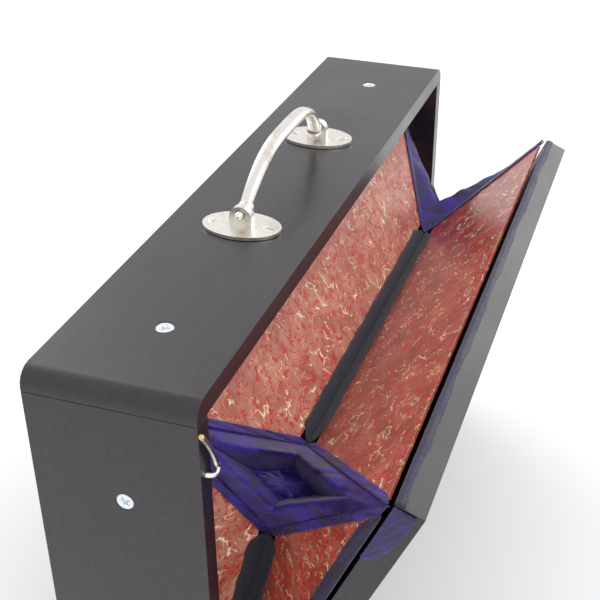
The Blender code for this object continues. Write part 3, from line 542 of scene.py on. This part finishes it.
def rib_frame(node, first, last, outward):
    """From one edge of a rib: along it, its length, across to the rib's middle, and out of the face."""
    vertices = frame["nodes"][node].data.vertices
    corners = np.empty(len(vertices) * 3, np.float32)
    vertices.foreach_get("co", corners)
    along = unit(last - first)
    across = corners.astype(float).reshape(-1, 3).mean(0) - first
    across = unit(across - along * (across @ along))
    normal = np.cross(along, across)
    return along, np.linalg.norm(last - first), across, normal if normal @ outward > 0 else -normal


# Leather and cloth of the bellows

def gusset(label, side):
    """A diamond of leather between four ribs, sunk to a hollow in its middle.

    Across the bilinear square of the corners it slopes gently in from the rim and then drops down
    an eased wall. Small waves round the middle and a crumple are added, and fade out at the rim.
    """
    case, top, pump, end = corner_points(side)
    across = np.linspace(-1, 1, 60)
    u, v = np.meshgrid(across, across, indexing="ij")
    s, t = (u + 1) / 2, (v + 1) / 2
    flat = ((1 - s) * (1 - t))[..., None] * case + (s * (1 - t))[..., None] * top
    flat = flat + (s * t)[..., None] * pump + ((1 - s) * t)[..., None] * end
    inward = unit((top + end) / 2 - (case + pump) / 2)
    rim = np.maximum(np.abs(u), np.abs(v))
    wall_top, wall_run = GUSSET_WALL
    wall = np.clip((wall_top - rim) / wall_run, 0, 1)
    depth = GUSSET_SLOPE * (1 - rim) + GUSSET_HOLLOW * wall * wall * (3 - 2 * wall)
    angle = np.arctan2(v, u)
    gather = 0.0005 * np.sin(angle * 11 + 2.0 * rim) + 0.0003 * np.sin(angle * 19 - 5 * rim + side)
    crumple = 0.0007 * wander(u * 2.1 + v * 1.3 + side, 5, 5, 2.0)
    fade = np.clip((1 - rim) * 4, 0, 1) * np.clip(rim * 3, 0, 1)
    points = flat + inward * (depth + (gather + crumple) * fade)[..., None]
    name = label + "_gusset_leather"
    item = place_piece(name, surface_mesh(name, points), LEATHER, None,
                       (label + "_gusset",))
    thicken(item, GUSSET_THICK)
    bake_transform(item)


def edging(name, node, first, last, width, outward, material, seed):
    """A leather strip glued to a rib along the line from first to last.

    Its inner edge is uneven by seeded waves, and it narrows at both ends.
    """
    along, length, across, normal = rib_frame(node, first, last, outward)
    s = np.linspace(0, 1, 90)[:, None]
    t = np.linspace(0, 1, 9)[None, :]
    ragged = (1.0 + 0.07 * wander(s * 9, seed, 5, 5.0)) * np.clip(np.minimum(s, 1 - s) * 14, 0.12, 1)
    reach = -EDGING_OVERHANG + t * (width * ragged + EDGING_OVERHANG)
    swell = 0.00022 * (wander(s * 7 + t * 2, seed + 1, 4, 4.0) + 1.0)
    lift = (RIB / 2 + LIFT + swell)[..., None]
    points = first + along * (s * length)[..., None] + across * reach[..., None] + normal * lift
    item = place_piece(name, surface_mesh(name, points), material, BODY_OF[node])
    thicken(item, EDGING_THICK)


def valley_half(name, node, first, last, tape_reach, outward, seed, stands_for=()):
    """Half of a valley's cloth tape: from the fold up on to one rib's face.

    It rises from the fold by a parabola over the free part of its reach, and its outer edge is
    uneven by seeded waves and narrows at both ends.
    """
    whole, free = tape_reach
    along, length, across, normal = rib_frame(node, first, last, outward)
    s = np.linspace(0, 1, 110)[:, None]
    t = np.linspace(0, 1, 12)[None, :]
    ends = np.clip(0.45 + np.minimum(s, 1 - s) * 16, 0, 1)
    ragged = (1.0 + 0.06 * wander(s * 8, seed, 5, 6.0)) * ends
    where = whole * ragged * t
    sunk = np.clip(1 - where / free, 0, 1)
    lift = (RIB / 2 + LIFT) * (1 - sunk ** 2) + 0.00015 * wander(s * 11 + t * 3, seed + 2, 4, 4.0)
    points = first + along * (s * length)[..., None] + across * where[..., None] + normal * lift[..., None]
    item = place_piece(name, surface_mesh(name, points), TAPE, BODY_OF[node], stands_for)
    thicken(item, VALLEY_TAPE_THICK)


def bellows_cloth():
    """Gussets, edging on the ribs' mitres and hinge edges, and cloth in the three valleys."""
    up = np.array([0.0, -0.3, 1.0])
    half = HALF - TOP_RIB_MITRE
    left, right = VALLEY + [-half, 0, 0], VALLEY + [half, 0, 0]
    valley_half("top_valley_tape_case", "top_rib_case", left, right, TOP_TAPE_REACH, up, 3,
                ("top_valley_tape",))
    valley_half("top_valley_tape_pump", "top_rib_pump", left, right, TOP_TAPE_REACH, up, 8)
    for label, side in SIDES:
        gusset(label, side)
        case_rib, pump_rib = label + "_rib_case", label + "_rib_pump"
        case, top, pump, end = corner_points(side)
        outside = np.array([side, -0.3, 0.2])
        mitres = (("top_rib_case", case, top, up), ("top_rib_pump", pump, top, up),
                  (pump_rib, pump, end, outside), (case_rib, case, end, outside))
        for number, (node, first, last, outward) in enumerate(mitres):
            edging(label + "_mitre_edging_%d" % (number + 1), node, first, last, MITRE_EDGING, outward,
                   LEATHER, 20 + number)
        case_low = spot(case_rib + "_fold") + [0, 0, END_RIB_FOOT]
        pump_low = spot(pump_rib + "_fold") + PUMP_UP * END_RIB_FOOT
        edging(label + "_case_hinge_edging", case_rib, case_low, case - [0, 0, HINGE_EDGING_DROP],
               HINGE_EDGING, outside, DARK_LEATHER, 31)
        edging(label + "_pump_hinge_edging", pump_rib, pump_low, pump - PUMP_UP * HINGE_EDGING_DROP,
               HINGE_EDGING, outside, DARK_LEATHER, 32)
        low = end_valley_foot(label, side)
        valley_half(label + "_valley_tape_case", case_rib, low, end, END_TAPE_REACH, outside, 12,
                    (label + "_valley_tape",))
        valley_half(label + "_valley_tape_pump", pump_rib, low, end, END_TAPE_REACH, outside, 15)


def pump_top_tape():
    """Ragged leather on the pump board's top face, turned a little way down its inner face.

    Each line across it runs over the top, round the corner and down. The corner is eased by a bell
    curve, and the part below it swells by half a sine.
    """
    s = np.linspace(-1, 1, 260)[:, None]
    t = np.linspace(0, 1, 18)[None, :]
    on_top = BOARD_TAPE_ON_TOP * (1 + 0.22 * wander(s * 7.3, 41, 7, 2.1))
    down = BOARD_TAPE_DOWN * (1 + 0.15 * wander(s * 6.1, 42, 7, 2.0))
    travelled = t * (on_top + down)
    over = np.clip(on_top - travelled, 0, None)
    below = np.clip(travelled - on_top, 0, None)
    rounded = 0.0006 * np.exp(-((travelled - on_top) / 0.001) ** 2)
    swell = 0.0002 * np.sin(np.clip(below / down, 0, 1) * np.pi * 0.9)
    swell = swell + 0.0001 * (1 + wander(s * 30 + t * 2, 43, 4, 2.0))
    inward = LIFT - over - rounded + swell * (below > 0)
    height = PUMP_TALL + LIFT - below - rounded
    points = (HINGE + (s * (HALF - BOARD_TAPE_INSET))[..., None] * ALONG_CASE + inward[..., None] * PUMP_IN
              + height[..., None] * PUMP_UP)
    name = "pump_top_tape"
    item = place_piece(name, surface_mesh(name, points), DARK_LEATHER, "pump_board")
    thicken(item, EDGING_THICK)


def corner_tab(label, side):
    """A tab of leather glued to the pump board's end, from its inner edge outwards.

    Its width follows a quarter ellipse below its straight upper quarter, and it swells by half a sine.
    """
    straight = 0.25
    u = np.linspace(0, 1, 30)[:, None]
    v = np.linspace(0, 1, 30)[None, :]
    wide = TAB_WIDE * np.sqrt(np.clip(1 - (v - straight).clip(0) ** 2 / (1 - straight) ** 2, 0.02, 1))
    down = TAB_TALL * v
    inward = 0.0003 - u * wide
    uneven = 0.0002 * (1 + wander(u * 5 + v * 7, 51, 3, 3.0))
    x = side * (HALF + LIFT + 0.0003 * np.sin(u * np.pi) + uneven)
    points = (HINGE + x[..., None] * ALONG_CASE + inward[..., None] * PUMP_IN
              + (PUMP_TALL - TAB_BELOW_TOP - down + 0 * u)[..., None] * PUMP_UP)
    name = label + "_corner_tab"
    item = place_piece(name, surface_mesh(name, points), LEATHER, "pump_board")
    thicken(item, TAB_THICK)


# Handle, hook and screws

def handle():
    """Bail with knuckles at its ends, and the plates whose ears carry it.

    The bail's height falls from its crest with a high power of the distance along the case, and its
    section is a superellipse, widest in the middle.
    """
    pivot = spot("bail_swing")
    turn = -np.cos(np.linspace(0.035, np.pi - 0.035, 150))
    rise = BAIL_RISE * (1 - np.abs(turn) ** BAIL_POWER)
    path = np.stack([BAIL_HALF * turn, -rise * math.sin(BAIL_LEAN), rise * math.cos(BAIL_LEAN)], 1) + pivot
    middle = 1 - np.abs(turn) ** 4
    wide = 0.0066 + 0.0014 * middle
    thick = 0.0060 - 0.0010 * middle
    across = np.array([0.0, math.cos(BAIL_LEAN), math.sin(BAIL_LEAN)])
    points = tube_points(path, wide, thick, 40, across, 2.5)
    place_piece("bail_casting", surface_mesh("bail_casting", points, True, True), NICKEL,
                "handle_bail", ("handle_bail",))
    inner = BAIL_HALF - KNUCKLE_LENGTH
    ear_inner, ear_outer = HANDLE_SPAN / 2 - EAR / 2, HANDLE_SPAN / 2 + EAR / 2
    shape = [(inner - 0.0005, 0.0006), (inner, 0.0032), (inner + 0.0012, 0.0043), (inner + 0.0034, 0.0045),
             (ear_inner - 0.0004, 0.0040), (ear_inner - 0.0003, 0.0023), (ear_outer + 0.0004, 0.0023),
             (ear_outer + 0.0022, 0.0021), (ear_outer + 0.0034, 0.0013), (ear_outer + 0.0038, 0.0003)]
    for label, side in SIDES:
        name = label + "_bail_knuckle"
        mesh = turned_mesh(name, shape, pivot, np.array([side, 0.0, 0.0]), 40)
        item = place_piece(name, mesh, NICKEL, "handle_bail")
        item.data.set_sharp_from_angle(angle=math.radians(60))
    for label in ("left", "right"):
        softened(label + "_handle_plate", INNER_EDGE, NICKEL, 3, label + "_plate_casting")


def sunk_screw(name, node, head, way, material, turn, slotted=False):
    """A countersunk screw: a flat head with rounded rim and a tapered cross recess or a slot, on a shank.

    The head is a polar grid. Its depth is the deepest of two crossed slots and a round middle, or
    one slot, with sloping walls. Every size is a share of the head's width.
    """
    low, high = (np.array(corner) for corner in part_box(node))
    way = unit(np.array(way, float))
    centre = (low + high) / 2
    tall = abs((high - low) @ way)
    top = centre + way * (tall / 2)
    side = unit(np.cross(way, [0.31, 0.52, 0.80]))
    other = np.cross(way, side)
    radius = head / 2
    r = np.concatenate([np.linspace(0.02, 0.9, 44), np.linspace(0.92, 1.0, 6)])[:, None] * radius
    a = np.linspace(0, 2 * np.pi, 120, endpoint=False)[None, :]
    x, y = r * np.cos(a + turn), r * np.sin(a + turn)
    arm, reach, deep = 0.085 * head, 0.31 * head, 0.16 * head

    def slot_depth(along, beside):
        inside = np.clip((arm - np.abs(beside)) / (0.35 * arm), 0, 1)
        taper = np.clip((reach - np.abs(along)) / (0.45 * reach), 0, 1)
        return deep * inside * taper ** 0.7

    star = np.clip((0.15 * head - np.hypot(x, y)) / (0.06 * head), 0, 1) * deep
    depth = np.maximum(np.maximum(slot_depth(x, y), slot_depth(y, x)), star)
    if slotted:
        depth = deep * np.clip((arm * 1.15 - np.abs(y)) / (0.3 * arm), 0, 1)
    rounding = 0.035 * head * np.clip((r / radius - 0.86) / 0.14, 0, 1) ** 2
    height = -0.00005 - depth - rounding
    spokes = np.cos(a)[..., None] * side + np.sin(a)[..., None] * other
    cap = top + r[..., None] * spokes + height[..., None] * way
    shank = 0.43 * radius
    below = [(1.0 * radius, 0.10 * head), (shank, 0.33 * head), (shank * 0.9, tall - 0.0003)]
    skirt = np.stack([top - way * down + spokes[0] * wide for wide, down in below])
    mesh = surface_mesh(name, np.vstack([cap, skirt]), True, True)
    item = place_piece(name, mesh, material, BODY_OF[node], (node,))
    item.data.set_sharp_from_angle(angle=math.radians(35))


def screws():
    """Eight case screws with cross recesses and four slotted handle screws, each turned its own way."""
    ways = {"top": (0, 0, 1), "bottom": (0, 0, -1), "left": (-1, 0, 0), "right": (1, 0, 0)}
    for number, node in enumerate(sorted(n for n in SLOT_OF if n.endswith("_screw"))):
        way = ways[node.split("_")[0]]
        sunk_screw(node + "_head", node, CASE_SCREW_HEAD, way, ZINC, 0.35 + number * 0.9)
    for number in range(1, 5):
        node = "handle_screw_%d" % number
        sunk_screw(node + "_head", node, HANDLE_SCREW_HEAD, ways["top"], NICKEL, 0.2 + number * 1.1, True)


def hook():
    """Turn hook of round wire: a threaded end in the board, a bow, and a leaning arm with a cut end.

    The wire follows a smooth curve through a few points, and the arm bows by half a sine.
    """
    screw = spot("hook_turn")
    lean = np.array([-math.sin(HOOK_LEAN), 0.0, math.cos(HOOK_LEAN)])
    elbow = screw + [0.0050, -0.0032, 0.0]
    points = [screw + [0, 0.0118, 0], screw + [0, 0.004, 0], screw + [0.0002, 0.0002, -0.0002],
              screw + [0.0016, -0.0023, -0.0006], screw + [0.0036, -0.0032, -0.0007],
              elbow + [0.0008, 0, 0.0014]]
    points += [elbow + lean * HOOK_ARM * share + [HOOK_BOW * math.sin(math.pi * share), 0, 0]
               for share in (0.14, 0.3, 0.5, 0.7, 0.85, 0.955)]
    path = smooth_path(points, 9)
    wire = tube_points(path, HOOK_WIRE, HOOK_WIRE, 20, np.array([1.0, 0.02, 0.01]))
    place_piece("hook_wire", surface_mesh("hook_wire", wire, True, True), NICKEL, "turn_hook",
                ("turn_hook",))
    shape = [(-0.0001, 0.0011), (0.0001, 0.00122), (0.0010, 0.00118), (0.0014, 0.0010), (0.0015, 0.0003)]
    cut_end = turned_mesh("hook_cut_end", shape, path[-1], unit(path[-1] - path[-4]), 20)
    place_piece("hook_cut_end", cut_end, BRASS, "turn_hook")


# Back of the box

def reservoir_leather():
    """Leather skirt round the reservoir board: two pleats between it and the centre board.

    An upturned U is carried from one board to the other. On the way it is drawn in by two raised
    cosines and by seeded ripples along the U.
    """
    low, high = (np.array(corner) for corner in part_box("reservoir_bellows"))
    left, right, foot, head = low[0] + SKIRT_INSET, high[0] - SKIRT_INSET, low[2], high[2] - SKIRT_INSET
    route = np.array([(left, foot), (left, head), (right, head), (right, foot)])
    lengths = np.linalg.norm(np.diff(route, axis=0), axis=1)
    total = np.concatenate([[0], np.cumsum(lengths)])
    where = np.linspace(0, total[-1], 520)
    x, z = np.interp(where, total, route[:, 0]), np.interp(where, total, route[:, 1])
    centre = np.array([(left + right) / 2, (foot + head) / 2])
    pull = np.stack([centre[0] - x, centre[1] - z], 1)
    sideways = np.abs(pull[:, :1]) / (right - left) > np.abs(pull[:, 1:]) / (head - foot)
    pull = np.where(sideways, pull * [1, 0], pull * [0, 1])
    pull /= np.linalg.norm(pull, axis=1)[:, None] + 1e-9
    t = np.linspace(0, 1, 22)[None, :]
    pleat = SKIRT_PLEAT * (1 - np.cos(t * 4 * np.pi))
    ripple = 0.0005 * wander(where[:, None] * 90 + t, 61, 4, 2.0)
    inset = pleat + ripple + 0.0006
    y = low[1] + (high[1] - low[1]) * t + 0 * x[:, None]
    points = np.stack([x[:, None] + pull[:, :1] * inset, y, z[:, None] + pull[:, 1:] * inset], -1)
    name = "reservoir_skirt"
    item = place_piece(name, surface_mesh(name, points), LEATHER, None,
                       ("reservoir_bellows",))
    thicken(item, SKIRT_THICK)
    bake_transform(item)


def note_stops():
    """The stops with their edges eased, each under a round-headed brass screw."""
    shape = [(0.0, 0.0008), (0.0, 0.0024), (0.0004, 0.0026), (0.0010, 0.0021), (0.0013, 0.0010),
             (0.0014, 0.0002)]
    for node in SLOT_OF:
        if node.startswith("note_stop"):
            softened(node, INNER_EDGE, None, 3)
            name = node + "_screw"
            face = spot(node + "_turn") + [0, STOP_FACE, 0]
            place_piece(name, turned_mesh(name, shape, face, (0, 1, 0), 24), BRASS, node)


def boards_and_ribs():
    """Boards, rails, valves, hinge strips and ribs with eased edges, and finishes for the rest."""
    for node in ("top_board", "bottom_board", "left_end_board", "right_end_board", "pump_board"):
        softened(node, BOARD_EDGE, LACQUER, 3)
    for node in ("centre_board", "pump_rail", "chest_lower_rail", "chest_upper_rail", "note_board",
                 "reservoir_sill", "reservoir_board"):
        softened(node, INNER_EDGE)
    for node in ("inlet_valve", "transfer_valve", "pump_hinge_strip", "reservoir_hinge_strip"):
        softened(node, THIN_EDGE)
    for node in ("left_reservoir_spring", "right_reservoir_spring", "reed_bank"):
        frame["nodes"][node].data.materials.clear()
        frame["nodes"][node].data.materials.append(FINISHES[SLOT_OF[node]])
    for node in SLOT_OF:
        if "_rib_" in node:
            softened(node, THIN_EDGE, PAPER_PUMP if node.endswith("pump") else PAPER_CASE)


# Stage

def pale_floor():
    """A pale floor under the box, faintly clouded."""
    corners = [[[-FLOOR_HALF, -FLOOR_HALF, 0], [-FLOOR_HALF, FLOOR_HALF, 0]],
               [[FLOOR_HALF, -FLOOR_HALF, 0], [FLOOR_HALF, FLOOR_HALF, 0]]]
    mesh = surface_mesh("floor", np.array(corners, float))
    floor = bpy.data.objects.new("floor", mesh)
    bpy.context.scene.collection.objects.link(floor)
    pale = shade("pale_floor", (0.92, 0.92, 0.92), 0.8)
    cloud = level(pale, noise(pale, places(pale), 3.0), 0.2, 0.8)
    drive(pale, Base_Color=mix(pale, cloud, (0.90, 0.90, 0.90), (0.93, 0.93, 0.93)))
    mesh.materials.append(pale)
    floor.location.z = min(0.0, cad_bounds[0].z)


def studio_light():
    """An even white world and three large lamps turned to the box."""
    world = bpy.data.worlds.new("studio")
    bpy.context.scene.world = world
    world.use_nodes = True
    background = world.node_tree.nodes["Background"]
    background.inputs["Color"].default_value = (1.0, 1.0, 1.0, 1.0)
    background.inputs["Strength"].default_value = WORLD_STRENGTH
    for name, place, size, power in LAMPS:
        lamp = bpy.data.lights.new(name, "AREA")
        lamp.shape = "SQUARE"
        lamp.size = size
        lamp.energy = power
        item = bpy.data.objects.new(name, lamp)
        item.location = place
        item.rotation_mode = "QUATERNION"
        item.rotation_quaternion = (Vector(LAMP_TARGET) - Vector(place)).to_track_quat("-Z", "Y")
        bpy.context.scene.collection.objects.link(item)


def photograph_camera():
    """The photograph's camera: its axes are level ones turned by the roll about its back vector."""
    camera_data = bpy.data.cameras.new("camera")
    camera_data.lens = CAMERA_LENS
    camera_data.sensor_width = CAMERA_SENSOR
    camera_data.shift_x, camera_data.shift_y = CAMERA_SHIFT
    camera_data.clip_start = 0.01
    camera = bpy.data.objects.new("camera", camera_data)
    bpy.context.scene.collection.objects.link(camera)
    back = Vector(CAMERA_BACK).normalized()
    right = Vector((0, 0, 1)).cross(back).normalized()
    up = back.cross(right)
    turned = right * math.cos(CAMERA_ROLL) + up * math.sin(CAMERA_ROLL)
    above = back.cross(turned)
    matrix = camera.matrix_world.copy()
    for column, vector in enumerate((turned, above, back, CAMERA_PLACE)):
        for row in range(3):
            matrix[row][column] = vector[row]
    camera.matrix_world = matrix
    bpy.context.scene.camera = camera


bellows_cloth()
pump_top_tape()
for label, side in SIDES:
    corner_tab(label, side)
handle()
screws()
hook()
reservoir_leather()
note_stops()
boards_and_ribs()
pale_floor()
studio_light()
photograph_camera()
bpy.context.scene.view_settings.view_transform = "Standard"
